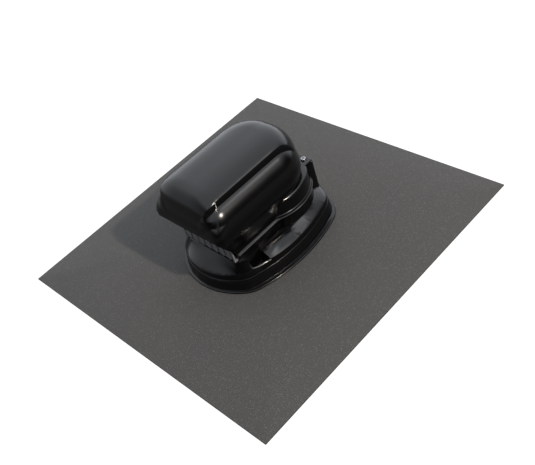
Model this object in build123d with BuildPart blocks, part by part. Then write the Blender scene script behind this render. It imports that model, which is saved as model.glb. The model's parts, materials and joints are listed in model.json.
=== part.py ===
from build123d import *
import os
from math import atan2, cos, hypot, pi, radians, sin, sqrt

# Roof cable pass-through: a hooded outlet on an oval collar, bonded to a square felt flange.
# Frame: origin under the middle of the sheet, +Z up, +Y up the roof slope, cables leave towards -Y.

# Felt flange and its bond
sheet_side = 500.0
sheet_thickness = 2.0
sheet_hole_radius = 57.0
bond_thickness = 0.6
bond_half_width = 90.0
bond_half_length = 116.7

# Oval collar
flange_half_width = 92.0
flange_half_length = 118.7
flange_thickness = 2.4
flange_fillet = 1.0
oval_side_radius = 235.0
oval_end_radius = 107.0
oval_corner_radius = 45.0
foot_half_width = 85.5
foot_half_length = 115.7
collar_half_width = 84.0
collar_half_length = 113.6
collar_wall_height = 11.5
shoulder_height = 5.0
shoulder_run_in = 1.9
snap_height = 6.0
snap_depth = 0.7
snap_band = 1.6

# Neck housing
rim_half_width = 81.0
rim_half_length = 110.6
rim_top = 30.0
housing_wall = 2.5
housing_drop = 3.0
fit_clearance = 0.3
gasket_height = 2.0
gasket_width = 3.5
skirt_top = 38.5
pad_rear_y = 5.0
pad_front_y = -46.0
pocket_front_y = -72.0
pocket_floor = 21.0
pocket_rim = 1.6
neck_radius = 65.0
neck_centre_y = 35.0
deck_half_width = 58.5
neck_half_width = 54.6
neck_wall = 2.5
neck_front_y = -80.0
sill_height = 47.5
sill_y = -86.0
sill_corner = 16.0
sill_depth = 7.0
parting_height = 59.0
lip_height = 2.0
lip_reach = 1.2
lug_half_width = 40.0
lug_depth = 11.5
lug_rear_y = 98.5
lug_height = 82.0
lug_wall = 2.5

# Riser pipe and grommet
pipe_radius = 55.0
pipe_wall = 3.2
pipe_top = 48.0
pipe_foot = 0.5
socket_wall = 3.0
socket_height = 18.0
socket_rib_count = 8
socket_rib_length = 6.0
ring_section = 2.4
ring_height = 11.0
membrane_thickness = 2.5
membrane_skirt = 13.0
nipple_count = 6
nipple_circle = 33.0
nipple_base = 10.0
nipple_tip = 6.0
nipple_rise = 12.0
cable_radius = 4.0
centre_nipple_base = 14.0
centre_nipple_tip = 9.0
centre_cable_radius = 7.0
band_clip_thickness = 0.8
band_clip_height = 8.0
band_clip_step = 2.5

# Hood
seal_height = 1.2
seal_width = 1.4
seal_set_back = 0.9
hood_wall = 2.5
hood_half_width = 68.5
hood_widest_height = 111.7
hood_lip_y = -108.0
hood_lip_height = 106.0
hood_lip_corner = 9.0
shoulder_drop = 37.3
shoulder_run = 24.5
shoulder_corner = 30.0
flat_front_y = -78.0
body_rear_y = 83.0
body_rear_roll = 32.0
foot_corner = 44.0
body_corner = 53.0
hood_foot_rear_y = 79.0
band_half_width = 51.0
band_top_height = 164.2
band_roll = 40.0
band_spread = 61.0
band_crest_half_width = 13.4
band_flat_front_y = -74.0
band_front_y = -104.0
band_rear_y = 87.0
band_corner = 34.0
band_foot = 88.0
bulge_fillet = 3.5
hood_bead = 1.0
ear_thickness = 2.7
tab_thickness = 2.5
tab_length = 12.0
tab_y = -62.0
tab_depth = 8.0

# Comb across the outlet
comb_thickness = 2.0
comb_half_width = 51.5
tongue_count = 7
tongue_gap = 2.4
tongue_top = 74.0
comb_top = 82.0
comb_post = 3.0
comb_strip = 3.5
comb_foot_depth = 6.0
rivet_x = 38.0
rivet_radius = 1.2
rivet_head_radius = 1.8
rivet_head_height = 1.0

# Fasteners
screw_x = 29.0
screw_radius = 2.0
screw_length = 14.0
head_radius = 4.0
head_height = 2.4
recess_depth = 1.3
recess_across = 1.0
insert_radius = 3.2
insert_length = 9.0

# Levels and places that follow from the sizes above
collar_foot = sheet_thickness + bond_thickness
collar_floor = collar_foot + flange_thickness
collar_top = collar_floor + collar_wall_height + shoulder_height
rim_bottom = collar_floor + gasket_height
snap_level = collar_floor + snap_height
lip_low = parting_height - lip_height
hood_low = parting_height + seal_height
pipe_bore = pipe_radius - pipe_wall
membrane_top = pipe_top + fit_clearance + membrane_thickness
lug_front_y = lug_rear_y - lug_depth
flat_y = lug_front_y - fit_clearance
ear_top = lug_height + fit_clearance + ear_thickness
screw_y = lug_rear_y - lug_depth / 2
bulge_top = ear_top
comb_y = sill_y + comb_thickness
rivet_y = comb_y + comb_foot_depth - 2
wide = 2 * flange_half_length
roll_turns = (90, 72, 54, 36, 18, 0)

os.makedirs("parts", exist_ok=True)


def oval(half_width, half_length):
    """Side, corner and end arcs that touch; an oval inside the flange has each radius less by its inset."""
    inset = flange_half_width - half_width
    side = oval_side_radius - inset
    end = oval_end_radius - inset
    corner = oval_corner_radius - inset
    side_x = half_width - side
    end_y = half_length - end
    span = hypot(side_x, end_y)
    along = (span**2 + (side - corner) ** 2 - (end - corner) ** 2) / (2 * span)
    across = sqrt((side - corner) ** 2 - along**2)
    ux = -side_x / span
    uy = end_y / span
    corner_x = side_x + ux * along - uy * across
    corner_y = uy * along + ux * across
    side_turn = atan2(corner_y, corner_x - side_x)
    end_turn = atan2(corner_y - end_y, corner_x)
    middle_turn = (side_turn + end_turn) / 2
    p = (side_x + side * cos(side_turn), side * sin(side_turn))
    q = (corner_x + corner * cos(middle_turn), corner_y + corner * sin(middle_turn))
    r = (end * cos(end_turn), end_y + end * sin(end_turn))
    with BuildSketch(mode=Mode.PRIVATE) as outline:
        with BuildLine():
            ThreePointArc((p[0], -p[1]), (half_width, 0), p)
            ThreePointArc(p, q, r)
            ThreePointArc(r, (0, half_length), (-r[0], r[1]))
            ThreePointArc((-r[0], r[1]), (-q[0], q[1]), (-p[0], p[1]))
            ThreePointArc((-p[0], p[1]), (-half_width, 0), (-p[0], -p[1]))
            ThreePointArc((-p[0], -p[1]), (-q[0], -q[1]), (-r[0], -r[1]))
            ThreePointArc((-r[0], -r[1]), (0, -half_length), (r[0], -r[1]))
            ThreePointArc((r[0], -r[1]), (q[0], -q[1]), (p[0], -p[1]))
        make_face()
    return outline.sketch


def plan(half, front, rear, front_radius, rear_radius):
    """Straight sides with rounded front and rear corners, as four lines and four arcs."""
    f = front_radius * (1 - sqrt(0.5))
    r = rear_radius * (1 - sqrt(0.5))
    with BuildSketch(mode=Mode.PRIVATE) as outline:
        with BuildLine():
            Line((half, front + front_radius), (half, rear - rear_radius))
            ThreePointArc((half, rear - rear_radius), (half - r, rear - r), (half - rear_radius, rear))
            Line((half - rear_radius, rear), (-half + rear_radius, rear))
            ThreePointArc((-half + rear_radius, rear), (-half + r, rear - r), (-half, rear - rear_radius))
            Line((-half, rear - rear_radius), (-half, front + front_radius))
            ThreePointArc((-half, front + front_radius), (-half + f, front + f), (-half + front_radius, front))
            Line((-half + front_radius, front), (half - front_radius, front))
            ThreePointArc((half - front_radius, front), (half - f, front + f), (half, front + front_radius))
        make_face()
    return outline.sketch


def keyhole(inset, front_y, rear_y):
    """The round neck with its straight front part, cut off flat at the rear."""
    half = neck_half_width - inset
    with BuildSketch(mode=Mode.PRIVATE) as outline:
        with Locations((0, neck_centre_y)):
            Circle(neck_radius - inset)
        with Locations((0, (neck_centre_y + front_y) / 2)):
            Rectangle(2 * half, neck_centre_y - front_y)
        with Locations((0, rear_y - wide / 2)):
            Rectangle(wide, wide, mode=Mode.INTERSECT)
    return outline.sketch


def block(x0, x1, y0, y1, z0, z1):
    return Pos((x0 + x1) / 2, (y0 + y1) / 2, (z0 + z1) / 2) * Box(x1 - x0, y1 - y0, z1 - z0, mode=Mode.PRIVATE)


def prism(face, low, high):
    with BuildPart(mode=Mode.PRIVATE) as solid:
        with BuildSketch(Plane.XY.offset(low)):
            add(face)
        extrude(amount=high - low)
    return solid.part


def round_bar(x, y, radius, low, high):
    return Pos(x, y, (low + high) / 2) * Cylinder(radius, high - low, mode=Mode.PRIVATE)


def cone(x, y, base, tip, low, high):
    return Pos(x, y, (low + high) / 2) * Cone(base, tip, high - low, mode=Mode.PRIVATE)


def half_of(face, edge_y, rear):
    """The part of an outline behind or in front of a line across the housing."""
    with BuildSketch(mode=Mode.PRIVATE) as half:
        add(face)
        with Locations((0, edge_y + (wide if rear else -wide) / 2)):
            Rectangle(wide, wide, mode=Mode.INTERSECT)
    return half.sketch


def skirt_crown(radius):
    """The skirt's upper edge behind the pads: a half round between two straight sides."""
    turn = 0.6
    knee = (radius * cos(turn), neck_centre_y + radius * sin(turn))
    bend = (radius * cos(turn / 2), neck_centre_y + radius * sin(turn / 2))
    with BuildSketch(mode=Mode.PRIVATE) as outline:
        with BuildLine():
            Line((radius, pad_rear_y), (radius, neck_centre_y))
            ThreePointArc((radius, neck_centre_y), bend, knee)
            ThreePointArc(knee, (0, neck_centre_y + radius), (-knee[0], knee[1]))
            ThreePointArc((-knee[0], knee[1]), (-bend[0], bend[1]), (-radius, neck_centre_y))
            Line((-radius, neck_centre_y), (-radius, pad_rear_y))
            Line((-radius, pad_rear_y), (radius, pad_rear_y))
        make_face()
    return outline.sketch


def sill_crown(half, front, corner):
    """The sloping front panel's upper edge, with the sill across the front."""
    bend = corner * (1 - sqrt(0.5))
    with BuildSketch(mode=Mode.PRIVATE) as outline:
        with BuildLine():
            Line((half, pad_front_y), (half, front + corner))
            ThreePointArc((half, front + corner), (half - bend, front + bend), (half - corner, front))
            Line((half - corner, front), (-half + corner, front))
            ThreePointArc((-half + corner, front), (-half + bend, front + bend), (-half, front + corner))
            Line((-half, front + corner), (-half, pad_front_y))
            Line((-half, pad_front_y), (half, pad_front_y))
        make_face()
    return outline.sketch


def mound(inset, drop):
    """Rim, rear skirt, side pads and front panel as one mass, shrunk and lowered for the hollow."""
    rim = oval(rim_half_width - inset, rim_half_length - inset)
    top = rim_top - drop
    crown = skirt_top - drop
    low = rim_bottom - (1 if inset else 0)
    with BuildPart(mode=Mode.PRIVATE) as mass:
        with BuildSketch(Plane.XY.offset(low)):
            add(rim)
        extrude(amount=top - low)
        with BuildSketch(Plane.XY.offset(top)):
            add(half_of(rim, pad_rear_y, True))
        with BuildSketch(Plane.XY.offset(crown)):
            add(skirt_crown(neck_radius - inset))
        loft(ruled=True)
        with BuildSketch(Plane.XY.offset(top)):
            add(half_of(rim, pad_front_y, False))
        with BuildSketch(Plane.XY.offset(sill_height - drop)):
            add(sill_crown(deck_half_width - inset, sill_y + inset, sill_corner - inset))
        loft(ruled=True)
        with BuildSketch(Plane.XZ.offset(-pad_rear_y)):
            with BuildLine():
                Polyline((neck_radius - inset, crown), (rim_half_width - inset, top),
                         (-rim_half_width + inset, top), (-neck_radius + inset, crown), close=True)
            make_face()
        extrude(amount=pad_rear_y - pad_front_y)
        add(prism(rim, low, sill_height), mode=Mode.INTERSECT)
    return mass.part


def lofted(sections, inset):
    """A smooth mass through plan outlines given as height, half width, front, rear and corner radii."""
    with BuildPart(mode=Mode.PRIVATE) as mass:
        for height, half, front, rear, front_radius, rear_radius in sections:
            with BuildSketch(Plane.XY.offset(height)):
                add(plan(half - inset, front + inset, rear - inset,
                         max(front_radius - inset, 2), max(rear_radius - inset, 2)))
        loft()
    return mass.part


def flare(rise, inset):
    """The body's outline at a share of the way from the parting line up to its widest level."""
    share = 0.5 - 0.5 * cos(pi * rise)
    low = hood_low - (1 if inset else 0)
    half = neck_half_width + (hood_half_width - neck_half_width) * share
    rear = hood_foot_rear_y + (body_rear_y - hood_foot_rear_y) * share
    corner = foot_corner + (body_corner - foot_corner) * share
    return (low + (hood_widest_height - low) * rise, half, hood_lip_y, rear, hood_lip_corner, corner)


def shoulder(turn, inset):
    """The body's outline on the shoulder, at 90 degrees where it is widest and at 0 on top."""
    out = sin(radians(turn))
    height = hood_widest_height + (shoulder_drop - inset) * cos(radians(turn))
    half = hood_half_width - shoulder_run * (1 - out)
    front = flat_front_y - (flat_front_y - hood_lip_y) * out
    rear = body_rear_y - body_rear_roll * (1 - out)
    front_corner = shoulder_corner - (shoulder_corner - hood_lip_corner) * out
    return (height, half, front, rear, front_corner, body_corner * half / hood_half_width)


def crown(turn, inset):
    """The band's outline while it rolls down at its ends, at 90 degrees low and at 0 on top."""
    out = sin(radians(turn))
    height = band_top_height - band_roll + (band_roll - inset) * cos(radians(turn))
    half = band_crest_half_width + band_spread * out
    front = band_flat_front_y - (band_flat_front_y - band_front_y) * out
    rear = band_rear_y - band_roll * (1 - out)
    return (height, half, front, rear, 0.49 * half, 0.95 * half)


def hood_body(inset):
    """The hood under its band: flaring sides, then a shoulder that rolls in to the step."""
    lower = lofted([flare(rise, inset) for rise in (0, 0.25, 0.5, 0.75, 1)], inset)
    upper = lofted([shoulder(turn, inset) for turn in roll_turns], inset)
    return lower + upper


def hood_band(inset):
    """The raised band: a crowned strip that rolls down at both ends, with rounded front corners."""
    height, half, front, rear, front_corner, rear_corner = crown(90, inset)
    foot = plan(half - inset, front + inset, rear - inset, front_corner - inset, rear_corner - inset)
    strip = plan(band_half_width - inset, band_front_y + inset, 2 * band_rear_y, band_corner - inset, 2)
    with BuildPart(mode=Mode.PRIVATE) as band:
        add(prism(foot, band_foot, height))
        add(lofted([crown(turn, inset) for turn in roll_turns], inset))
        add(prism(strip, band_foot - 1, band_top_height + 1), mode=Mode.INTERSECT)
    return band.part


def hood_bulge(inset):
    with BuildPart(mode=Mode.PRIVATE) as bulge:
        with BuildSketch(Plane.XY.offset(hood_low - (1 if inset else 0))):
            with Locations((0, neck_centre_y)):
                Circle(neck_radius - inset)
        extrude(amount=bulge_top - hood_low - (inset - 1 if inset else 0))
        fillet(bulge.faces().sort_by(Axis.Z)[-1].edges(), bulge_fillet - inset / 2)
        behind = block(-wide, wide, flat_y - inset, wide, 0, wide if inset else lug_height + fit_clearance)
        add(behind, mode=Mode.SUBTRACT)
    return bulge.part


def mouth():
    """Everything in front of the slanting mouth edge, from the parting line up to the front lip."""
    with BuildPart(mode=Mode.PRIVATE) as cut:
        with BuildSketch(Plane.YZ.offset(-wide)):
            with BuildLine():
                Polyline((neck_front_y, hood_low - 2), (hood_lip_y, hood_lip_height),
                         (2 * hood_lip_y, hood_lip_height), (2 * hood_lip_y, hood_low - 2), close=True)
            make_face()
        extrude(amount=2 * wide)
    return cut.part


def write(piece, name):
    piece.part.label = name
    export_step(piece.part, f"parts/{name}.step")


# Felt sheet with a round hole for the riser pipe
with BuildPart() as flange_sheet:
    with BuildSketch():
        Rectangle(sheet_side, sheet_side)
        with Locations((0, neck_centre_y)):
            Circle(sheet_hole_radius, mode=Mode.SUBTRACT)
    extrude(amount=sheet_thickness)
write(flange_sheet, "flange_sheet")

# Butyl bond between the sheet and the collar
with BuildPart() as bonding_ring:
    with BuildSketch(Plane.XY.offset(sheet_thickness)):
        add(oval(bond_half_width, bond_half_length))
        with Locations((0, neck_centre_y)):
            Circle(sheet_hole_radius, mode=Mode.SUBTRACT)
    extrude(amount=bond_thickness)
write(bonding_ring, "bonding_ring")

# Collar: flange, drafted wall, sloping shoulder, floor and a ribbed socket for the pipe
socket_radius = pipe_radius + fit_clearance
with BuildPart() as base_collar:
    with BuildSketch(Plane.XY.offset(collar_foot)):
        add(oval(flange_half_width, flange_half_length))
    extrude(amount=flange_thickness)
    fillet(base_collar.edges().group_by(Axis.Z)[-1], flange_fillet)
    with BuildSketch(Plane.XY.offset(collar_floor)):
        add(oval(foot_half_width, foot_half_length))
    with BuildSketch(Plane.XY.offset(collar_floor + collar_wall_height)):
        add(oval(collar_half_width, collar_half_length))
    loft(ruled=True)
    with BuildSketch(Plane.XY.offset(collar_floor + collar_wall_height)):
        add(oval(collar_half_width, collar_half_length))
    with BuildSketch(Plane.XY.offset(collar_top)):
        add(oval(collar_half_width - shoulder_run_in, collar_half_length - shoulder_run_in))
    loft(ruled=True)
    with BuildSketch(Plane.XY.offset(collar_floor)):
        add(oval(rim_half_width + fit_clearance, rim_half_length + fit_clearance))
    extrude(amount=collar_top, mode=Mode.SUBTRACT)
    with BuildSketch(Plane.XY.offset(snap_level - fit_clearance)):
        add(oval(rim_half_width + snap_depth + fit_clearance, rim_half_length + snap_depth + fit_clearance))
    extrude(amount=snap_band + 2 * fit_clearance, mode=Mode.SUBTRACT)
    with BuildSketch(Plane.XY.offset(collar_floor)):
        with Locations((0, neck_centre_y)):
            Circle(socket_radius + socket_wall)
        with Locations(Pos(0, neck_centre_y)):
            with PolarLocations(socket_radius + socket_wall, socket_rib_count, 360 / socket_rib_count / 2):
                Rectangle(2 * socket_rib_length, socket_wall)
    extrude(amount=socket_height)
    with BuildSketch(Plane.XY.offset(collar_foot)):
        with Locations((0, neck_centre_y)):
            Circle(socket_radius)
    extrude(amount=socket_height + flange_thickness, mode=Mode.SUBTRACT)
    with BuildSketch(Plane.XY.offset(collar_foot + ring_height - fit_clearance / 2)):
        with Locations((0, neck_centre_y)):
            Circle(socket_radius + ring_section / 2)
    extrude(amount=ring_section + fit_clearance, mode=Mode.SUBTRACT)
write(base_collar, "base_collar")

# Riser pipe, pushed into the socket
with BuildPart() as riser_pipe:
    with BuildSketch(Plane.XY.offset(pipe_foot)):
        with Locations((0, neck_centre_y)):
            Circle(pipe_radius)
            Circle(pipe_bore, mode=Mode.SUBTRACT)
    extrude(amount=pipe_top - pipe_foot)
    chamfer(riser_pipe.edges().group_by(Axis.Z)[-1].sort_by(SortBy.RADIUS)[-1], 1)
write(riser_pipe, "riser_pipe")

# Lip ring in the socket's groove, round the pipe
with BuildPart() as riser_seal:
    with BuildSketch(Plane.XY.offset(collar_foot + ring_height)):
        with Locations((0, neck_centre_y)):
            Circle(pipe_radius + fit_clearance + ring_section / 2)
            Circle(pipe_radius, mode=Mode.SUBTRACT)
    extrude(amount=ring_section)
write(riser_seal, "riser_seal")

# Flat gasket on the collar's floor, under the housing's rim
with BuildPart() as collar_gasket:
    with BuildSketch(Plane.XY.offset(collar_floor)):
        add(oval(rim_half_width, rim_half_length))
        add(oval(rim_half_width - gasket_width, rim_half_length - gasket_width), mode=Mode.SUBTRACT)
    extrude(amount=gasket_height)
write(collar_gasket, "collar_gasket")

# Neck housing: rim, skirt, pads, front panel with its sill, keyhole neck and rear lug in one moulding
outer_mound = mound(0, 0)
inner_mound = mound(housing_wall, housing_drop)
pocket_depth = rim_top + skirt_top
pocket_sketch = half_of(half_of(oval(rim_half_width - pocket_rim, rim_half_length - pocket_rim),
                                pad_front_y, False), pocket_front_y, True)
pocket_walls = half_of(half_of(oval(rim_half_width, rim_half_length), pad_front_y + housing_wall, False),
                       pocket_front_y - housing_wall, True)
pockets = prism(pocket_sketch, pocket_floor, pocket_depth)
pockets = pockets - block(-deck_half_width, deck_half_width, sill_y, pad_rear_y, 0, wide)
pocket_shell = prism(pocket_walls, pocket_floor - housing_wall, pocket_depth)
pocket_shell = pocket_shell - block(-deck_half_width + housing_wall, deck_half_width - housing_wall,
                                    sill_y, pad_rear_y, 0, wide)
hollow = inner_mound - pocket_shell
with BuildPart() as neck_housing:
    add(outer_mound)
    add(hollow, mode=Mode.SUBTRACT)
    add(pockets, mode=Mode.SUBTRACT)
    with BuildSketch(Plane.XY.offset(rim_top - housing_drop)):
        add(keyhole(0, neck_front_y, lug_rear_y))
    extrude(amount=parting_height - rim_top + housing_drop)
    with BuildSketch(Plane.XY.offset(lip_low)):
        add(keyhole(-lip_reach, neck_front_y, lug_rear_y))
    extrude(amount=lip_height)
    add(block(-lug_half_width, lug_half_width, lug_front_y, lug_rear_y, rim_top, lug_height))
    core_half = screw_x - insert_radius - lug_wall
    core_rear = lug_rear_y - lug_wall
    add(block(-core_half, core_half, lug_front_y + lug_wall, core_rear, rim_top, lug_height - lug_wall),
        mode=Mode.SUBTRACT)
    with BuildSketch(Plane.XY.offset(pocket_floor)):
        add(keyhole(neck_wall, neck_front_y + neck_wall, core_rear))
    extrude(amount=parting_height - neck_wall - pocket_floor, mode=Mode.SUBTRACT)
    with BuildSketch(Plane.XY.offset(pocket_floor)):
        add(keyhole(neck_wall, neck_front_y + neck_wall, flat_y - neck_wall))
    extrude(amount=parting_height, mode=Mode.SUBTRACT)
    with BuildSketch(Plane.XY.offset(sill_height)):
        with Locations((0, sill_y)):
            Rectangle(2 * (neck_half_width - neck_wall), 3 * sill_depth)
    extrude(amount=parting_height, mode=Mode.SUBTRACT)
    with BuildSketch(Plane.XY.offset(snap_level)):
        add(oval(rim_half_width + snap_depth, rim_half_length + snap_depth))
        add(oval(rim_half_width - housing_wall, rim_half_length - housing_wall), mode=Mode.SUBTRACT)
    extrude(amount=snap_band)
    for x in (-screw_x, screw_x):
        add(round_bar(x, screw_y, insert_radius, lug_height - insert_length, lug_height), mode=Mode.SUBTRACT)
        add(round_bar(x, screw_y, screw_radius + fit_clearance, ear_top - screw_length - 1, lug_height),
            mode=Mode.SUBTRACT)
    for x in (-rivet_x, rivet_x):
        add(round_bar(x, rivet_y, rivet_radius, rim_top, sill_height), mode=Mode.SUBTRACT)
write(neck_housing, "neck_housing")

# Rubber grommet over the pipe's top, with cable nipples
with BuildPart() as grommet_membrane:
    skirt_low = pipe_top - membrane_skirt
    grommet_radius = pipe_radius + fit_clearance
    add(round_bar(0, neck_centre_y, grommet_radius + membrane_thickness, skirt_low, membrane_top))
    add(round_bar(0, neck_centre_y, grommet_radius, skirt_low, pipe_top + fit_clearance), mode=Mode.SUBTRACT)
    nipple_top = membrane_top + nipple_rise
    add(cone(0, neck_centre_y, centre_nipple_base, centre_nipple_tip, membrane_top, nipple_top))
    add(round_bar(0, neck_centre_y, centre_cable_radius, skirt_low, nipple_top), mode=Mode.SUBTRACT)
    for index in range(nipple_count):
        turn = radians(360 / nipple_count * (index + 0.5))
        x = nipple_circle * cos(turn)
        y = neck_centre_y + nipple_circle * sin(turn)
        add(cone(x, y, nipple_base, nipple_tip, membrane_top, nipple_top))
        add(round_bar(x, y, cable_radius, skirt_low, nipple_top), mode=Mode.SUBTRACT)
write(grommet_membrane, "grommet_membrane")

# Steel band that clamps the grommet's skirt to the pipe
with BuildPart() as grommet_clamp:
    clamp_low = pipe_top - membrane_skirt + 2
    clamp_radius = pipe_radius + fit_clearance + membrane_thickness
    with BuildSketch(Plane.XY.offset(clamp_low)):
        with Locations((0, neck_centre_y)):
            Circle(clamp_radius + band_clip_thickness)
        with Locations((0, neck_centre_y - clamp_radius - band_clip_step / 2)):
            Rectangle(10, band_clip_step + 2)
        with Locations((0, neck_centre_y)):
            Circle(clamp_radius, mode=Mode.SUBTRACT)
    extrude(amount=band_clip_height)
write(grommet_clamp, "grommet_clamp")

# Seal between the neck's lip and the hood
with BuildPart() as hood_seal:
    with BuildSketch(Plane.XY.offset(parting_height)):
        add(keyhole(seal_set_back, neck_front_y, flat_y - seal_set_back))
        add(keyhole(seal_set_back + seal_width, neck_front_y - seal_width, flat_y - seal_set_back - seal_width),
            mode=Mode.SUBTRACT)
    extrude(amount=seal_height)
write(hood_seal, "hood_seal")

# Hood: body, raised band and round bulge as one shell, open below and at the slanting mouth
with BuildPart() as hood_shell:
    add(hood_body(0))
    add(hood_band(0))
    add(hood_bulge(0))
    add(mouth(), mode=Mode.SUBTRACT)
    with BuildSketch(Plane.XY.offset(hood_low)):
        with Locations((0, neck_centre_y)):
            Circle(neck_radius + hood_bead)
        with Locations((0, flat_y - wide / 2)):
            Rectangle(wide, wide, mode=Mode.INTERSECT)
    extrude(amount=lip_height)
    with BuildSketch(Plane.XY.offset(lug_height + fit_clearance)):
        with Locations((0, (neck_centre_y + lug_rear_y) / 2)):
            Rectangle(2 * lug_half_width, lug_rear_y - neck_centre_y)
    extrude(amount=ear_thickness)
    add(hood_body(hood_wall), mode=Mode.SUBTRACT)
    add(hood_band(hood_wall), mode=Mode.SUBTRACT)
    add(hood_bulge(hood_wall), mode=Mode.SUBTRACT)
    add(block(-wide, wide, lug_rear_y, wide, hood_low, ear_top + fit_clearance), mode=Mode.SUBTRACT)
    tab_out = neck_half_width - neck_wall - fit_clearance
    for side in (-1, 1):
        inner = side * (tab_out - tab_thickness)
        low_block = (min(inner, side * tab_out), max(inner, side * tab_out))
        high_block = (min(inner, side * neck_half_width), max(inner, side * neck_half_width))
        add(block(*low_block, tab_y, tab_y + tab_length, parting_height - tab_depth, hood_low + tab_thickness))
        add(block(*high_block, tab_y, tab_y + tab_length, hood_low, hood_low + tab_thickness))
        add(round_bar(side * screw_x, screw_y, screw_radius + fit_clearance, lug_height, ear_top + 1),
            mode=Mode.SUBTRACT)
write(hood_shell, "hood_shell")

# Comb: a frame with hanging tongues that close round the cables
tongue_pitch = 2 * (comb_half_width - comb_post) / tongue_count
tongue_width = tongue_pitch - tongue_gap
tongue_low = sill_height + comb_thickness + tongue_width / 2
with BuildPart() as comb_grille:
    with BuildSketch(Plane.XZ.offset(-comb_y)):
        with Locations((0, (tongue_top + comb_top) / 2)):
            Rectangle(2 * comb_half_width, comb_top - tongue_top)
        with Locations((-comb_half_width + comb_post / 2, (sill_height + comb_top) / 2),
                       (comb_half_width - comb_post / 2, (sill_height + comb_top) / 2)):
            Rectangle(comb_post, comb_top - sill_height)
        with GridLocations(tongue_pitch, 0, tongue_count, 1):
            with Locations((0, (tongue_low + tongue_top) / 2)):
                Rectangle(tongue_width, tongue_top - tongue_low)
            with Locations((0, tongue_low)):
                Circle(tongue_width / 2)
    extrude(amount=comb_thickness)
    with BuildSketch(Plane.XZ.offset(-comb_y)):
        with Locations((0, sill_height + comb_strip / 2)):
            Rectangle(2 * comb_half_width, comb_strip)
    extrude(amount=-comb_thickness)
    add(block(-comb_half_width, comb_half_width, comb_y, comb_y + comb_foot_depth,
              sill_height, sill_height + comb_thickness))
    for x in (-rivet_x, rivet_x):
        add(round_bar(x, rivet_y, rivet_radius, sill_height, sill_height + comb_thickness), mode=Mode.SUBTRACT)
    fillet(comb_grille.faces().sort_by(Axis.Y)[0].edges().filter_by(GeomType.CIRCLE), 0.6)
write(comb_grille, "comb_grille")

# Rivets that hold the comb's foot on the sill
with BuildPart() as comb_rivets:
    rivet_seat = sill_height + comb_thickness
    for x in (-rivet_x, rivet_x):
        add(round_bar(x, rivet_y, rivet_radius, sill_height - 2 * comb_thickness, rivet_seat))
        add(round_bar(x, rivet_y, rivet_head_radius, rivet_seat, rivet_seat + rivet_head_height))
write(comb_rivets, "comb_rivets")

# Pan head screws that hold the hood's ears to the lug
screw_seat = ear_top
with BuildPart() as rear_screws:
    for x in (-screw_x, screw_x):
        add(round_bar(x, screw_y, screw_radius, screw_seat - screw_length, screw_seat))
        add(round_bar(x, screw_y, head_radius, screw_seat, screw_seat + head_height))
    fillet(rear_screws.edges().group_by(Axis.Z)[-1], head_height / 3)
    for x in (-screw_x, screw_x):
        slot_z = screw_seat + head_height - recess_depth
        slot_top = screw_seat + head_height
        reach = head_radius / 2
        half = recess_across / 2
        add(block(x - reach, x + reach, screw_y - half, screw_y + half, slot_z, slot_top), mode=Mode.SUBTRACT)
        add(block(x - half, x + half, screw_y - reach, screw_y + reach, slot_z, slot_top), mode=Mode.SUBTRACT)
write(rear_screws, "rear_screws")

# Brass inserts in the lug that take the screws
with BuildPart() as rear_inserts:
    for x in (-screw_x, screw_x):
        add(round_bar(x, screw_y, insert_radius, lug_height - insert_length, lug_height))
        add(round_bar(x, screw_y, screw_radius, lug_height - insert_length, lug_height), mode=Mode.SUBTRACT)
write(rear_inserts, "rear_inserts")
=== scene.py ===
import json
import math

import bmesh
import bpy
import numpy as np
from mathutils import Matrix, Vector


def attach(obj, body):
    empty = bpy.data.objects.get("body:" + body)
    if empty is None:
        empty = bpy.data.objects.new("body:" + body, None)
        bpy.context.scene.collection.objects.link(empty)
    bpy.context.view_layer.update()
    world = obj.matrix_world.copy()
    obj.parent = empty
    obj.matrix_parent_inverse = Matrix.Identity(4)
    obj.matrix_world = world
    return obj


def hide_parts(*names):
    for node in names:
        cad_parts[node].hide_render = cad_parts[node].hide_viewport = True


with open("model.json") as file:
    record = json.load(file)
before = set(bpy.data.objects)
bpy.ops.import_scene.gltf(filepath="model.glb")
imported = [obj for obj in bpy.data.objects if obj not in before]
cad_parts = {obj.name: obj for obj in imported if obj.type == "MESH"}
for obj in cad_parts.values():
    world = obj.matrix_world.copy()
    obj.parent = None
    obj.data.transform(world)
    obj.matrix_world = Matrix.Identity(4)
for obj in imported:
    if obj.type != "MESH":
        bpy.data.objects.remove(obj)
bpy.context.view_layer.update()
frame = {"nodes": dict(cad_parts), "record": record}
nodes = frame["nodes"]
mm = 0.001
print("frame loaded", len(nodes), "nodes")


def newMaterial(name):
    material = bpy.data.materials.new(name)
    material.use_nodes = True
    tree = material.node_tree
    return material, tree, tree.nodes["Principled BSDF"]


# a shader node with its settings and its input values
def addNode(tree, kind, inputs=None, **settings):
    node = tree.nodes.new(kind)
    for key, value in settings.items():
        setattr(node, key, value)
    for label, value in (inputs or {}).items():
        node.inputs[label].default_value = value
    return node


def newGroup(name, inputs, outputs):
    group = bpy.data.node_groups.new(name, "ShaderNodeTree")
    for label, kind, value in inputs:
        socket = group.interface.new_socket(label, in_out="INPUT", socket_type=kind)
        socket.default_value = value
    for label, kind in outputs:
        group.interface.new_socket(label, in_out="OUTPUT", socket_type=kind)
    return group, group.nodes.new("NodeGroupInput"), group.nodes.new("NodeGroupOutput")


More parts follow.
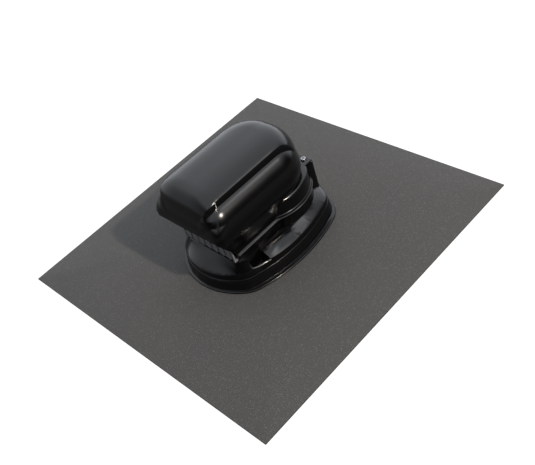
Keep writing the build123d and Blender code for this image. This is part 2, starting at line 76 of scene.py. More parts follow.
# moulded skin: slow clouds move the gloss, a fine grain gives the height, and dust lies on level faces
def buildMouldedSkin():
    group, start, end = newGroup("mouldedSkin", [
        ("Base", "NodeSocketColor", (0.01, 0.01, 0.011, 1)),
        ("Dust Colour", "NodeSocketColor", (0.09, 0.09, 0.095, 1)),
        ("Dust", "NodeSocketFloat", 0.1),
        ("Gloss Low", "NodeSocketFloat", 0.14),
        ("Gloss High", "NodeSocketFloat", 0.22),
        ("Cloud Scale", "NodeSocketFloat", 30.0),
        ("Grain Scale", "NodeSocketFloat", 1600.0)],
        [("Colour", "NodeSocketColor"), ("Roughness", "NodeSocketFloat"), ("Height", "NodeSocketFloat")])
    place = addNode(group, "ShaderNodeTexCoord")
    cloud = addNode(group, "ShaderNodeTexNoise", {"Detail": 4.0})
    grain = addNode(group, "ShaderNodeTexNoise", {"Detail": 2.0})
    speck = addNode(group, "ShaderNodeTexNoise", {"Scale": 420.0, "Detail": 6.0})
    link = group.links.new
    link(place.outputs["Object"], cloud.inputs["Vector"])
    link(place.outputs["Object"], grain.inputs["Vector"])
    link(place.outputs["Object"], speck.inputs["Vector"])
    link(start.outputs["Cloud Scale"], cloud.inputs["Scale"])
    link(start.outputs["Grain Scale"], grain.inputs["Scale"])
    gloss = addNode(group, "ShaderNodeMapRange", {"From Min": 0.3, "From Max": 0.7})
    link(cloud.outputs["Fac"], gloss.inputs["Value"])
    link(start.outputs["Gloss Low"], gloss.inputs["To Min"])
    link(start.outputs["Gloss High"], gloss.inputs["To Max"])
    facing = addNode(group, "ShaderNodeNewGeometry")
    split = addNode(group, "ShaderNodeSeparateXYZ")
    link(facing.outputs["Normal"], split.inputs["Vector"])
    level = addNode(group, "ShaderNodeMapRange", {"From Min": 0.5, "From Max": 1.0})
    link(split.outputs["Z"], level.inputs["Value"])
    fleck = addNode(group, "ShaderNodeMapRange", {"From Min": 0.48, "From Max": 0.72})
    link(speck.outputs["Fac"], fleck.inputs["Value"])
    settled = addNode(group, "ShaderNodeMath", operation="MULTIPLY")
    link(level.outputs["Result"], settled.inputs[0])
    link(fleck.outputs["Result"], settled.inputs[1])
    amount = addNode(group, "ShaderNodeMath", operation="MULTIPLY")
    link(settled.outputs[0], amount.inputs[0])
    link(start.outputs["Dust"], amount.inputs[1])
    blend = addNode(group, "ShaderNodeMix", data_type="RGBA")
    link(amount.outputs[0], blend.inputs["Factor"])
    link(start.outputs["Base"], blend.inputs[6])
    link(start.outputs["Dust Colour"], blend.inputs[7])
    link(blend.outputs[2], end.inputs["Colour"])
    rough = addNode(group, "ShaderNodeMath", operation="ADD")
    link(gloss.outputs["Result"], rough.inputs[0])
    link(amount.outputs[0], rough.inputs[1])
    link(rough.outputs[0], end.inputs["Roughness"])
    link(grain.outputs["Fac"], end.inputs["Height"])
    return group


mouldedSkin = buildMouldedSkin()


def mouldedMaterial(name, base, low, high, bump, dust, specular=0.5):
    material, tree, shader = newMaterial(name)
    shader.inputs["Specular IOR Level"].default_value = specular
    skin = addNode(tree, "ShaderNodeGroup",
                   {"Base": (*base, 1), "Dust": dust, "Gloss Low": low, "Gloss High": high},
                   node_tree=mouldedSkin)
    tree.links.new(skin.outputs["Colour"], shader.inputs["Base Color"])
    tree.links.new(skin.outputs["Roughness"], shader.inputs["Roughness"])
    height = addNode(tree, "ShaderNodeBump", {"Strength": 1.0, "Distance": bump})
    tree.links.new(skin.outputs["Height"], height.inputs["Height"])
    tree.links.new(height.outputs["Normal"], shader.inputs["Normal"])
    return material


# felt: a dark clouded ground, a pale mineral grain in some of its cells, and a pitted height
def feltMaterial(settings):
    material, tree, shader = newMaterial("feltMineral")
    link = tree.links.new
    place = addNode(tree, "ShaderNodeTexCoord")
    wide = addNode(tree, "ShaderNodeTexNoise", {"Scale": settings["cloudScale"], "Detail": 5.0})
    fine = addNode(tree, "ShaderNodeTexNoise",
                   {"Scale": settings["grainScale"], "Detail": 4.0, "Roughness": 0.7})
    cells = addNode(tree, "ShaderNodeTexVoronoi", {"Scale": settings["cellScale"]})
    for texture in (wide, fine, cells):
        link(place.outputs["Object"], texture.inputs["Vector"])
    ground = addNode(tree, "ShaderNodeMix",
                     {6: (*settings["dark"], 1), 7: (*settings["light"], 1)}, data_type="RGBA")
    spread = addNode(tree, "ShaderNodeMapRange", {"From Min": 0.36, "From Max": 0.68})
    link(fine.outputs["Fac"], spread.inputs["Value"])
    link(spread.outputs["Result"], ground.inputs["Factor"])
    clouded = addNode(tree, "ShaderNodeMix",
                      {"Factor": settings["cloud"]}, data_type="RGBA", blend_type="MULTIPLY")
    tone = addNode(tree, "ShaderNodeMapRange",
                   {"From Min": 0.3, "From Max": 0.7, "To Min": 0.75, "To Max": 1.15})
    link(wide.outputs["Fac"], tone.inputs["Value"])
    link(ground.outputs[2], clouded.inputs[6])
    link(tone.outputs["Result"], clouded.inputs[7])
    grain = addNode(tree, "ShaderNodeMath", {1: settings["grainSize"]}, operation="LESS_THAN")
    link(cells.outputs["Distance"], grain.inputs[0])
    pick = addNode(tree, "ShaderNodeSeparateColor")
    link(cells.outputs["Color"], pick.inputs[0])
    some = addNode(tree, "ShaderNodeMath", {1: settings["grainShare"]}, operation="GREATER_THAN")
    link(pick.outputs[0], some.inputs[0])
    shown = addNode(tree, "ShaderNodeMath", operation="MULTIPLY")
    link(grain.outputs[0], shown.inputs[0])
    link(some.outputs[0], shown.inputs[1])
    speckled = addNode(tree, "ShaderNodeMix", {7: (*settings["grain"], 1)}, data_type="RGBA")
    link(shown.outputs[0], speckled.inputs["Factor"])
    link(clouded.outputs[2], speckled.inputs[6])
    link(speckled.outputs[2], shader.inputs["Base Color"])
    shader.inputs["Roughness"].default_value = settings["rough"]
    height = addNode(tree, "ShaderNodeBump", {"Strength": 1.0, "Distance": settings["relief"]})
    link(fine.outputs["Fac"], height.inputs["Height"])
    link(height.outputs["Normal"], shader.inputs["Normal"])
    return material


# metal: fine streaks round Z move the roughness and give a shallow height
def metalMaterial(name, colour, low, high, streak):
    material, tree, shader = newMaterial(name)
    link = tree.links.new
    place = addNode(tree, "ShaderNodeTexCoord")
    stretch = addNode(tree, "ShaderNodeMapping", {"Scale": (streak, streak, streak * 14)})
    noise = addNode(tree, "ShaderNodeTexNoise", {"Scale": 1.0, "Detail": 5.0})
    link(place.outputs["Object"], stretch.inputs["Vector"])
    link(stretch.outputs["Vector"], noise.inputs["Vector"])
    rough = addNode(tree, "ShaderNodeMapRange", {"To Min": low, "To Max": high})
    link(noise.outputs["Fac"], rough.inputs["Value"])
    link(rough.outputs["Result"], shader.inputs["Roughness"])
    shader.inputs["Base Color"].default_value = (*colour, 1)
    shader.inputs["Metallic"].default_value = 1.0
    height = addNode(tree, "ShaderNodeBump", {"Distance": 0.00003})
    link(noise.outputs["Fac"], height.inputs["Height"])
    link(height.outputs["Normal"], shader.inputs["Normal"])
    return material


felt = {"dark": (0.0033, 0.0031, 0.0029), "light": (0.0115, 0.0109, 0.0102), "grain": (0.038, 0.037, 0.035),
        "cloudScale": 9.0, "cloud": 0.4, "grainScale": 900.0, "cellScale": 700.0, "grainSize": 0.3,
        "grainShare": 0.75, "relief": 0.0004, "rough": 0.88}
finishes = {
    "felt": feltMaterial(felt),
    "hood": mouldedMaterial("hoodGloss", base=(0.0004, 0.0004, 0.0005), low=0.21, high=0.24,
                            bump=0.000001, dust=0.002, specular=0.2),
    "housing": mouldedMaterial("housingGloss", base=(0.0004, 0.0004, 0.0005), low=0.18, high=0.21,
                               bump=0.000001, dust=0.002, specular=0.2),
    "collar": mouldedMaterial("collarGloss", base=(0.0005, 0.0005, 0.0006), low=0.17, high=0.2,
                              bump=0.000001, dust=0.002, specular=0.2),
    # comb: its own satin grey, lightened further to paint in the sheen its teeth catch in the hood's shade
    # (painted highlight)
    "comb": mouldedMaterial("combSatinPaintedSheen", base=(0.07, 0.07, 0.072), low=0.3, high=0.4,
                            bump=0.00001, dust=0.02),
    "rivet": mouldedMaterial("rivetSatin", base=(0.015, 0.015, 0.016), low=0.35, high=0.45,
                             bump=0.00001, dust=0.05),
    "pipe": mouldedMaterial("pipeGrey", base=(0.2, 0.21, 0.22), low=0.38, high=0.5,
                            bump=0.00002, dust=0.15),
    "grommet": mouldedMaterial("grommetRubber", base=(0.014, 0.014, 0.015), low=0.55, high=0.7,
                               bump=0.00003, dust=0.3),
    "seal": mouldedMaterial("sealRubber", base=(0.01, 0.01, 0.011), low=0.6, high=0.75,
                            bump=0.00003, dust=0.2),
    "bond": mouldedMaterial("bondButyl", base=(0.008, 0.008, 0.008), low=0.5, high=0.7,
                            bump=0.00005, dust=0.1),
    "clamp": metalMaterial("clampSteel", colour=(0.6, 0.6, 0.61), low=0.22, high=0.38, streak=300.0),
    "screw": metalMaterial("screwSteel", colour=(0.16, 0.16, 0.17), low=0.25, high=0.36, streak=900.0),
    "insert": metalMaterial("insertBrass", colour=(0.72, 0.53, 0.24), low=0.25, high=0.4, streak=900.0),
}
slots = {item["node"]: item["material_slot"] for item in frame["record"]["subparts"]}
for name, piece in nodes.items():
    piece.data.materials.clear()
    piece.data.materials.append(finishes[slots[name]])
print("materials placed")


# a new piece with smooth faces, which rides on the one body and stands for a node
def placePiece(name, mesh, slot, node):
    mesh.polygons.foreach_set("use_smooth", np.ones(len(mesh.polygons), bool))
    piece = bpy.data.objects.new(name, mesh)
    bpy.context.scene.collection.objects.link(piece)
    mesh.materials.clear()
    mesh.materials.append(finishes[slot])
    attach(piece, "root")
    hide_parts(node)
    return piece


def roundEdges(piece, width, segments):
    edge = piece.modifiers.new("edgeRound", "BEVEL")
    edge.width = width * mm
    edge.segments = segments
    edge.harden_normals = True
    return edge


# hood: seen from a point inside, the skin is where each ray leaves the body and the raised band
hoodForm = {"centre": (0.0, -12.0, 100.0), "foot": 60.2, "wide": 111.7, "lipY": -108.0, "lipZ": 106.0,
            "mouthY": -80.0, "mouthZ": 59.0, "neckHalf": 54.6, "wideHalf": 68.5, "sideRoll": 24.5,
            "shoulderRise": 34.8, "frontRoll": 30.0, "rearY": 83.0, "rearFoot": 79.0, "rearCorner": 53.0,
            "rearRoll": 32.0, "cornerLow": 5.0, "cornerHigh": 2.2, "bodyScale": 28.0,
            "bandHalf": 51.0, "bandTop": 165.4, "bandRise": 40.0, "bandDrop": 12.5, "bandFlat": 8.0,
            "bandSpread": 70.0, "bandFront": -108.0, "bandFrontRoll": 34.5, "bandRear": 87.0,
            "bandRearRoll": 40.0, "bandRearHalf": 65.5, "bandRearCorner": 62.0, "bandCorner": 26.0,
            "bandScale": 36.0, "bandPower": 3, "bandAhead": 1.4, "tailBlend": 5.0, "cornerRise": 2.2,
            "fadeFrom": -86.0, "fadeTo": -100.0, "fadeTop": 148.0, "fadeDepth": 12.0, "fadeLow": 114.0,
            "fadeRise": 12, "fadeSide": 30.0, "fadeWidth": 16, "blendLeast": 0.9, "blendMore": 10.0,
            "edgeRound": 1.6, "wall": 2.5, "columns": 420, "outerRows": 185, "innerRows": 30,
            "rayLength": 160.0, "rayHalvings": 24, "topTilt": 89.6, "lowTilt": -62.0, "highTilt": 20.0,
            "edgeHalvings": 26, "samples": 1100, "bendWindow": 15, "bendWeight": 0.3, "evenColumns": 5,
            "slopeStep": 0.06}


def smoothMax(a, b, reach):
    share = np.maximum(reach - np.abs(a - b), 0) / reach
    return np.maximum(a, b) + share * share * reach * 0.25


def smoothMin(a, b, reach):
    return -smoothMax(-a, -b, reach)


# how far a point lies outside a plan outline with round rear corners, counted in rolls of the edge
def outsideRear(x, y, half, rear, corner, sideRoll, rearRoll):
    dx = np.maximum(np.abs(x) - (half - corner), 0)
    dy = np.maximum(y - (rear - corner), 0)
    reach = np.hypot(dx, dy)
    roll = sideRoll + (rearRoll - sideRoll) * (dy / np.maximum(reach, 1e-6)) ** 2
    return np.maximum(reach - corner + roll, 0) / roll


# body: flaring walls up to the widest level, then one rounded rim in which sides, front and rear add up
def bodyField(x, y, z, form):
    rise = np.clip((z - form["foot"]) / (form["wide"] - form["foot"]), 0, 1)
    share = 0.5 - 0.5 * np.cos(np.pi * rise)
    half = form["neckHalf"] + (form["wideHalf"] - form["neckHalf"]) * share
    rear = form["rearFoot"] + (form["rearY"] - form["rearFoot"]) * share
    up = np.maximum(z - form["wide"], 0) / form["shoulderRise"]
    around = outsideRear(x, y, half, rear, form["rearCorner"], form["sideRoll"], form["rearRoll"])
    front = np.maximum(form["lipY"] + form["frontRoll"] - y, 0) / form["frontRoll"]
    sharpen = np.clip(up * form["cornerRise"], 0, 1)
    power = form["cornerLow"] + (form["cornerHigh"] - form["cornerLow"]) * sharpen
    rim = (around ** power + front ** power) ** (1 / power)
    return (np.hypot(rim, up) - 1) * form["bodyScale"]


# band: upright sides with round front corners under a crown that rolls down to the front and the rear
def bandField(x, y, z, form):
    across = np.maximum(np.abs(x) - form["bandFlat"], 0) / form["bandSpread"]
    front = np.maximum(form["bandFront"] + form["bandFrontRoll"] - y, 0) / form["bandFrontRoll"]
    rise = form["bandRise"] + form["bandDrop"] * np.minimum(front, 1)
    up = np.maximum(z - form["bandTop"] + rise, 0) / rise
    roll = form["bandRearRoll"]
    back = outsideRear(x, y, form["bandRearHalf"], form["bandRear"], form["bandRearCorner"], roll, roll)
    power = form["bandPower"]
    rim = (across ** power + front ** power) ** (1 / power)
    crown = (np.hypot(rim, up) - 1) * form["bandScale"]
    tail = (np.hypot(back, up) - 1) * roll
    corner = form["bandCorner"]
    dx = np.maximum(np.abs(x) - form["bandHalf"] + corner, 0)
    dy = np.maximum(form["bandFront"] - form["bandAhead"] + corner - y, 0)
    strip = np.hypot(dx, dy) - corner
    return smoothMax(smoothMax(crown, tail, form["tailBlend"]), strip, form["edgeRound"])


# body and band meet in a crease that softens toward the front corners of the band
def hoodField(x, y, z, form):
    fade = np.clip((form["fadeFrom"] - y) / (form["fadeFrom"] - form["fadeTo"]), 0, 1)
    under = np.clip((form["fadeTop"] - z) / form["fadeDepth"], 0, 1)
    over = np.clip((z - form["fadeLow"]) / form["fadeRise"], 0, 1)
    aside = np.clip((np.abs(x) - form["fadeSide"]) / form["fadeWidth"], 0, 1)
    reach = form["blendLeast"] + form["blendMore"] * fade * fade * (3 - 2 * fade) * (under * over) * aside
    return smoothMin(bodyField(x, y, z, form), bandField(x, y, z, form), reach)


# each ray is halved until it stops where the field has the wanted value
def castRays(turn, tilt, level, form):
    cx, cy, cz = form["centre"]
    dx = np.cos(tilt) * np.cos(turn)
    dy = np.cos(tilt) * np.sin(turn)
    dz = np.sin(tilt)
    near = np.zeros_like(turn + tilt)
    far = np.full_like(near, form["rayLength"])
    for step in range(form["rayHalvings"]):
        middle = (near + far) / 2
        inside = hoodField(cx + middle * dx, cy + middle * dy, cz + middle * dz, form) < level
        near = np.where(inside, middle, near)
        far = np.where(inside, far, middle)
    reach = (near + far) / 2
    return np.stack([cx + reach * dx, cy + reach * dy, cz + reach * dz], axis=-1)


# a point is kept above the parting line and behind the slanting mouth edge
def keptSide(points, form):
    slant = (form["lipY"] - form["mouthY"]) / (form["lipZ"] - form["mouthZ"])
    edge = form["mouthY"] + slant * (np.minimum(points[..., 2], form["lipZ"]) - form["mouthZ"])
    behind = np.where(points[..., 2] >= form["lipZ"], 1.0, points[..., 1] - edge)
    return np.minimum(behind, points[..., 2] - form["foot"])


# rows run from the crown to the open edge, closer together where the skin turns sharply
def skinRows(level, rows, form):
    turn = np.linspace(0, 2 * np.pi, form["columns"], endpoint=False)[:, None]
    top = np.radians(form["topTilt"])
    low = np.full_like(turn, np.radians(form["lowTilt"]))
    high = np.full_like(turn, np.radians(form["highTilt"]))
    for step in range(form["edgeHalvings"]):
        middle = (low + high) / 2
        kept = keptSide(castRays(turn, middle, level, form), form) > 0
        high = np.where(kept, middle, high)
        low = np.where(kept, low, middle)
    share = np.linspace(0, 1, form["samples"])[None, :]
    tilt = top + (high - top) * share
    points = castRays(turn, tilt, level, form)
    along = np.diff(points, axis=1)
    length = np.linalg.norm(along, axis=2)
    way = along / np.maximum(length, 1e-9)[..., None]
    bend = np.zeros_like(length)
    bend[:, 1:] = np.linalg.norm(np.diff(way, axis=1), axis=2)
    bend = (bend + np.roll(bend, 1, axis=0) + np.roll(bend, -1, axis=0)) / 3
    kernel = np.ones(form["bendWindow"]) / form["bendWindow"]
    bend = np.apply_along_axis(lambda row: np.convolve(row, kernel, mode="same"), 1, bend)
    weight = length / length.sum(axis=1, keepdims=True) + form["bendWeight"] * bend
    reached = np.concatenate([np.zeros((len(turn), 1)), np.cumsum(weight, axis=1)], axis=1)
    reached /= reached[:, -1:]
    shifts = range(-form["evenColumns"], form["evenColumns"] + 1)
    reached = sum(np.roll(reached, shift, axis=0) for shift in shifts) / len(shifts)
    wanted = np.linspace(0, 1, rows)
    chosen = np.stack([np.interp(wanted, column, share[0]) for column in reached])
    return castRays(turn, top + (high - top) * chosen, level, form)


# columns run around and rows along; the rows end in two poles, or close into a ring
def meshFromGrid(name, grid, closing, slot, node):
    columns, rows = grid.shape[:2]
    points = grid.reshape(-1, 3)
    index = np.arange(columns * rows).reshape(columns, rows)
    if closing == "ring":
        index = np.concatenate([index, index[:, :1]], axis=1)
    right = np.roll(index, -1, axis=0)
    quads = np.stack([index[:, :-1], index[:, 1:], right[:, 1:], right[:, :-1]], axis=-1).reshape(-1, 4)
    faces = quads.tolist()
    if closing == "poles":
        start = len(points)
        points = np.concatenate([points, grid[:, 0].mean(axis=0)[None], grid[:, -1].mean(axis=0)[None]])
        faces += [[start, a, b] for a, b in zip(index[:, 0].tolist(), right[:, 0].tolist())]
        faces += [[start + 1, b, a] for a, b in zip(index[:, -1].tolist(), right[:, -1].tolist())]
    mesh = bpy.data.meshes.new(name)
    mesh.from_pydata((points * mm).tolist(), [], faces)
    mesh.update()
    return placePiece(name, mesh, slot, node)


# the normal at each point: the way in which the field grows fastest
def fieldSlope(points, form):
    x, y, z = points[..., 0], points[..., 1], points[..., 2]
    step = form["slopeStep"]
    slope = np.stack([hoodField(x + step, y, z, form) - hoodField(x - step, y, z, form),
                      hoodField(x, y + step, z, form) - hoodField(x, y - step, z, form),
                      hoodField(x, y, z + step, form) - hoodField(x, y, z - step, form)], axis=-1)
    return slope / np.maximum(np.linalg.norm(slope, axis=-1, keepdims=True), 1e-9)


def buildHood(form):
    outer = skinRows(0.0, form["outerRows"], form)
    inner = skinRows(-form["wall"], form["innerRows"], form)[:, ::-1]
    hood = meshFromGrid("hoodSkin", np.concatenate([outer, inner], axis=1), "poles", "hood", "hood_shell")
    slopes = np.concatenate([fieldSlope(outer, form), -fieldSlope(inner, form)], axis=1).reshape(-1, 3)
    slopes = np.concatenate([slopes, [[0, 0, 1], [0, 0, -1]]])
    hood.data.normals_split_custom_set_from_vertices(slopes.tolist())
    return hood


hoodSkin = buildHood(hoodForm)
print("hood skin made", len(hoodSkin.data.polygons), "faces")

# bulge: one profile turned about the neck's axis, and pressed flat where the rear lug stands
bulgeForm = {"centreY": 35.0, "radius": 65.0, "low": 60.2, "top": 85.0, "round": 4.5, "bead": 1.2,
             "wall": 2.5, "hole": 38.0, "ledge": 50.0, "step": 0.01, "arcPoints": 9, "columns": 288,
             "flatY": 86.7, "earLow": 82.3, "earHalf": 40.0, "earFront": 72.0, "earUnder": 0.06,
             "earRound": 0.9, "rearY": 98.5}


def buildBulge(form):
    radius = form["radius"]
    top = form["top"]
    low = form["low"]
    turn = np.linspace(0, np.pi / 2, form["arcPoints"])
    roll = form["round"]
    shoulder = [(radius - roll + roll * math.sin(t), top - roll + roll * math.cos(t)) for t in turn]
    swell = form["bead"]
    bead = [(radius + swell * math.sin(t), low + swell + swell * math.cos(t)) for t in 2 * turn]
    profile = [(form["hole"], top), (form["ledge"], top)] + shoulder
    profile = [point for point in profile if point[1] > form["earLow"]]
    lower = [point for point in shoulder if point[1] < form["earLow"]]
    edge = radius - roll + math.sqrt(roll ** 2 - (form["earLow"] - top + roll) ** 2)
    step = form["step"]
    profile += [(edge, form["earLow"] + step), (edge, form["earLow"] - step)] + lower + bead
    inner = radius - form["wall"]
    profile += [(inner, low), (inner, top - form["wall"]), (form["hole"], top - form["wall"])]
    path = np.array(profile)
    angle = np.linspace(0, 2 * np.pi, form["columns"], endpoint=False)[:, None]
    x = path[:, 0] * np.cos(angle)
    y = form["centreY"] + path[:, 0] * np.sin(angle)
    z = np.broadcast_to(path[:, 1], x.shape)
    inside = (path[:, 0] <= inner) & (path[:, 1] < top - 0.1)
    limit = np.where(path[:, 1] > form["earLow"], form["rearY"], form["flatY"])
    limit = np.where(inside, form["flatY"] - form["wall"], limit)
    grid = np.stack([x, np.minimum(y, limit), z], axis=-1)
    bulge = meshFromGrid("hoodBulge", grid[:, ::-1], "ring", "hood", "hood_shell")
    bulge.data.set_sharp_from_angle(angle=math.radians(40))


# ear: the plate over the rear lug, a hair under the bulge's top so that the faces don't share a plane
def buildEar(form):
    xs = (-form["earHalf"], form["earHalf"])
    ys = (form["earFront"], form["rearY"])
    zs = (form["earLow"], form["top"] - form["earUnder"])
    corners = [(x, y, z) for z in zs for y in ys for x in xs]
    mesh = bpy.data.meshes.new("hoodEar")
    mesh.from_pydata((np.array(corners) * mm).tolist(), [],
                     [(0, 2, 3, 1), (4, 5, 7, 6), (0, 1, 5, 4), (2, 6, 7, 3), (0, 4, 6, 2), (1, 3, 7, 5)])
    roundEdges(placePiece("hoodEar", mesh, "hood", "hood_shell"), form["earRound"], 3)


buildBulge(bulgeForm)
buildEar(bulgeForm)
print("bulge and ear made")


# a moulded node with rounded edges: a merged copy, flat parts joined, and a bevel on the sharp edges
def roundedCopy(node, name, width, slot):
    source = bmesh.new()
    source.from_mesh(nodes[node].data)
    bmesh.ops.remove_doubles(source, verts=source.verts, dist=0.000004)
    bmesh.ops.dissolve_limit(source, angle_limit=math.radians(0.4), verts=source.verts, edges=source.edges)
    mesh = bpy.data.meshes.new(name)
    source.to_mesh(mesh)
    source.free()
    edge = roundEdges(placePiece(name, mesh, slot, node), width, 2)
    edge.limit_method = "ANGLE"
    edge.angle_limit = math.radians(38)


roundedCopy("neck_housing", "housingSkin", 0.9, "housing")
roundedCopy("base_collar", "collarSkin", 0.7, "collar")
print("housing and collar edges rounded")

# lip bead: a small wedge along the neck's lip, straight beside the mouth and round up to the rear lug
lipForm = {"half": 55.0, "radius": 65.0, "centreY": 35.0, "frontY": -79.5, "lugHalf": 40.5, "arcSteps": 60,
           "straightSteps": 24, "bendLength": 4.0, "bendAngle": 0.05,
           "section": ((-0.4, 57.1), (2.3, 57.1), (2.4, 57.9), (-0.4, 59.5))}


def buildLipBead(form):
    meeting = -math.acos(form["half"] / form["radius"])
    ending = math.acos(form["lugHalf"] / form["radius"])
    start = form["centreY"] + form["radius"] * math.sin(meeting)
    straight = np.linspace(form["frontY"], start - form["bendLength"], form["straightSteps"])
    path = [((form["half"], y), (1.0, 0.0)) for y in straight]
    for angle in np.linspace(meeting + form["bendAngle"], ending, form["arcSteps"]):
        way = (math.cos(angle), math.sin(angle))
        path.append(((form["radius"] * way[0], form["centreY"] + form["radius"] * way[1]), way))
    bead = bmesh.new()
    for side in (1, -1):
        rings = []
        for (x, y), (nx, ny) in path:
            rings.append([bead.verts.new((side * (x + nx * out) * mm, (y + ny * out) * mm, z * mm))
                          for out, z in form["section"]])
        for a, b in zip(rings, rings[1:]):
            for j in range(len(a)):
                after = (j + 1) % len(a)
                bead.faces.new((a[j], a[after], b[after], b[j]))
        bead.faces.new(rings[0])
        bead.faces.new(rings[-1])
    bmesh.ops.recalc_face_normals(bead, faces=bead.faces)
    mesh = bpy.data.meshes.new("lipBead")
    bead.to_mesh(mesh)
    bead.free()
    placePiece("lipBead", mesh, "housing", "neck_housing")
    mesh.set_sharp_from_angle(angle=math.radians(35))


buildLipBead(lipForm)
print("lip bead made")

# felt sheet: flat on both sides with a soft outer edge, open round the riser
sheetForm = {"half": 250.0, "top": 2.0, "edge": 0.7, "edgeKnee": 0.3, "holeY": 35.0, "hole": 57.0,
             "columns": 384}


def buildSheet(form):
    angle = np.arange(form["columns"]) * 2 * np.pi / form["columns"]
    way = np.stack([np.cos(angle), np.sin(angle)], axis=1)
    ring = way * form["hole"] + np.array([0.0, form["holeY"]])
    border = way * form["half"] / np.abs(way).max(axis=1, keepdims=True)
    top = form["top"]
    edge = form["edge"]
    pull = edge / form["half"]
    knee = form["edgeKnee"]
    middle = (ring + border) / 2
    rows = [(ring, 0.0), (ring, top), (middle, top), (border * (1 - pull), top),
            (border * (1 - pull * knee), top - edge * knee), (border, top - edge), (border, 0.0),
            (middle, 0.0)]
    levels = [np.concatenate([flat, np.full((len(flat), 1), z)], axis=1) for flat, z in rows]
    grid = np.stack(levels, axis=1)
    sheet = meshFromGrid("feltSheet", grid[:, ::-1], "ring", "felt", "flange_sheet")
    sheet.data.set_sharp_from_angle(angle=math.radians(35))
    return sheet


feltSheet = buildSheet(sheetForm)
print("felt sheet made")

stageSettings = {"floorColour": (0.035, 0.035, 0.035), "floorGlow": 0.93, "floorSize": 8.0,
                 "floorLevel": -0.0002, "floorRough": 0.9, "aim": (0, 0, 0.08),
                 "keyPower": 600.0, "keyFrom": (0.747, 0.09, 0.658), "keySize": 0.16, "keyDistance": 5.0,
                 "keyColour": (1.0, 0.92, 0.81), "highColour": (1.0, 1.0, 1.0), "highDistance": 1.7,
                 "highPower": 4.0, "highFrom": (0.41, 0.41, 0.81), "highSize": 0.45}


# floor: a dark level sheet that glows nearly white to the camera alone, so that nothing reflects a glow
def buildFloor(settings):
    half = settings["floorSize"] / 2
    mesh = bpy.data.meshes.new("floorPlane")
    low = settings["floorLevel"]
    mesh.from_pydata([(-half, -half, low), (half, -half, low), (half, half, low), (-half, half, low)], [],
                     [(0, 1, 2, 3)])
    floor = bpy.data.objects.new("floorPlane", mesh)
    bpy.context.scene.collection.objects.link(floor)
    material, tree, shader = newMaterial("floorPale")
    shader.inputs["Base Color"].default_value = (*settings["floorColour"], 1)
    shader.inputs["Roughness"].default_value = settings["floorRough"]
    rays = addNode(tree, "ShaderNodeLightPath")
    tree.links.new(rays.outputs["Is Camera Ray"], shader.inputs["Emission Color"])
    shader.inputs["Emission Strength"].default_value = settings["floorGlow"]
    mesh.materials.append(material)


def buildLamp(name, aim, power, colour, fromWay, size, distance):
    light = bpy.data.lights.new(name, "AREA")
    light.size = size
    light.energy = power
    light.color = colour
    lamp = bpy.data.objects.new(name, light)
    way = Vector(fromWay).normalized()
    lamp.location = Vector(aim) + way * distance
    lamp.rotation_euler = (-way).to_track_quat("-Z", "Y").to_euler()
    bpy.context.scene.collection.objects.link(lamp)


# studio: bright overhead and to the left, dim low on the right and in front, white straight into the camera
studio = {"dim": 0.05, "bright": 2.85, "upFrom": 0.3, "upTo": 0.82, "leftFrom": 0.1, "leftTo": -0.55,
          "rearFrom": 0.05, "rearTo": 0.55, "besideFrom": 0.45, "besideTo": 0.0,
          "frontFrom": -0.85, "frontTo": -0.2, "frontShare": 0.3, "leftShare": 0.85,
          "tint": (0.92, 0.955, 1.01)}


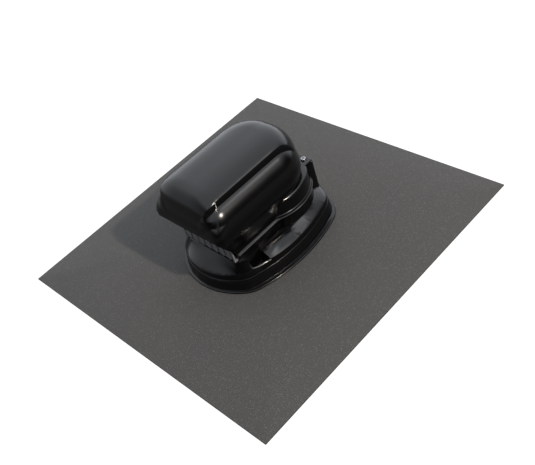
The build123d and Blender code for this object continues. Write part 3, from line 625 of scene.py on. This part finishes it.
def buildStudio(settings):
    world = bpy.data.worlds.new("paleStudio")
    bpy.context.scene.world = world
    world.use_nodes = True
    tree = world.node_tree
    link = tree.links.new
    ground = tree.nodes["Background"]
    place = addNode(tree, "ShaderNodeTexCoord")
    split = addNode(tree, "ShaderNodeSeparateXYZ")
    link(place.outputs["Generated"], split.inputs[0])

    def ranged(source, low, high, least, most):
        node = addNode(tree, "ShaderNodeMapRange",
                       {"From Min": low, "From Max": high, "To Min": least, "To Max": most},
                       interpolation_type="SMOOTHSTEP")
        link(source, node.inputs["Value"])
        return node.outputs["Result"]

    def joined(kind, a, b):
        node = addNode(tree, "ShaderNodeMath", operation=kind)
        for socket, value in zip(node.inputs, (a, b)):
            if isinstance(value, float):
                socket.default_value = value
            else:
                link(value, socket)
        return node.outputs[0]

    up = ranged(split.outputs["Z"], settings["upFrom"], settings["upTo"], 0.0, 1.0)
    right = ranged(split.outputs["X"], settings["leftTo"], settings["leftFrom"], 0.0, 1.0)
    left = joined("SUBTRACT", 1.0, right)
    front = ranged(split.outputs["Y"], settings["frontFrom"], settings["frontTo"],
                   settings["frontShare"], 1.0)
    rear = ranged(split.outputs["Y"], settings["rearFrom"], settings["rearTo"], 0.0, 1.0)
    beside = ranged(split.outputs["X"], settings["besideTo"], settings["besideFrom"], 0.0, 1.0)
    behind = joined("MULTIPLY", rear, joined("SUBTRACT", 1.0, beside))
    beforeLeft = joined("MULTIPLY", joined("MULTIPLY", left, front), settings["leftShare"])
    share = joined("MAXIMUM", joined("MAXIMUM", up, behind), beforeLeft)
    level = joined("ADD", joined("MULTIPLY", share, settings["bright"]), settings["dim"])
    rays = addNode(tree, "ShaderNodeLightPath")
    seen = rays.outputs["Is Camera Ray"]
    shown = joined("ADD", joined("MULTIPLY", level, joined("SUBTRACT", 1.0, seen)), seen)
    tint = addNode(tree, "ShaderNodeMix", {6: (*settings["tint"], 1), 7: (1, 1, 1, 1)}, data_type="RGBA")
    link(seen, tint.inputs["Factor"])
    link(tint.outputs[2], ground.inputs["Color"])
    link(shown, ground.inputs["Strength"])


# camera: its right, up and back ways and its place, above the front right of the sheet
viewForm = {"sensor": 36.0, "focalPixels": 812.25, "widthPixels": 535, "right": (0.7008, 0.6687, -0.2482),
            "up": (-0.3467, 0.6235, 0.7008), "back": (0.6234, -0.4051, 0.6688),
            "place": (0.7510, -0.4756, 0.7989)}


def buildCamera(form):
    camera = bpy.data.cameras.new("studioCamera")
    camera.sensor_width = form["sensor"]
    camera.lens = form["focalPixels"] / form["widthPixels"] * form["sensor"]
    holder = bpy.data.objects.new("studioCamera", camera)
    ways = [(*form[way], 0) for way in ("right", "up", "back")]
    holder.matrix_world = Matrix((*ways, (*form["place"], 1))).transposed()
    bpy.context.scene.collection.objects.link(holder)
    bpy.context.scene.camera = holder


buildFloor(stageSettings)
for lampName in ("key", "high"):
    lampValues = [stageSettings[lampName + item]
                  for item in ("Power", "Colour", "From", "Size", "Distance")]
    buildLamp(lampName + "Softbox", stageSettings["aim"], *lampValues)
buildStudio(studio)
buildCamera(viewForm)
bpy.context.scene.view_settings.view_transform = "Standard"
print("stage, light and camera set")
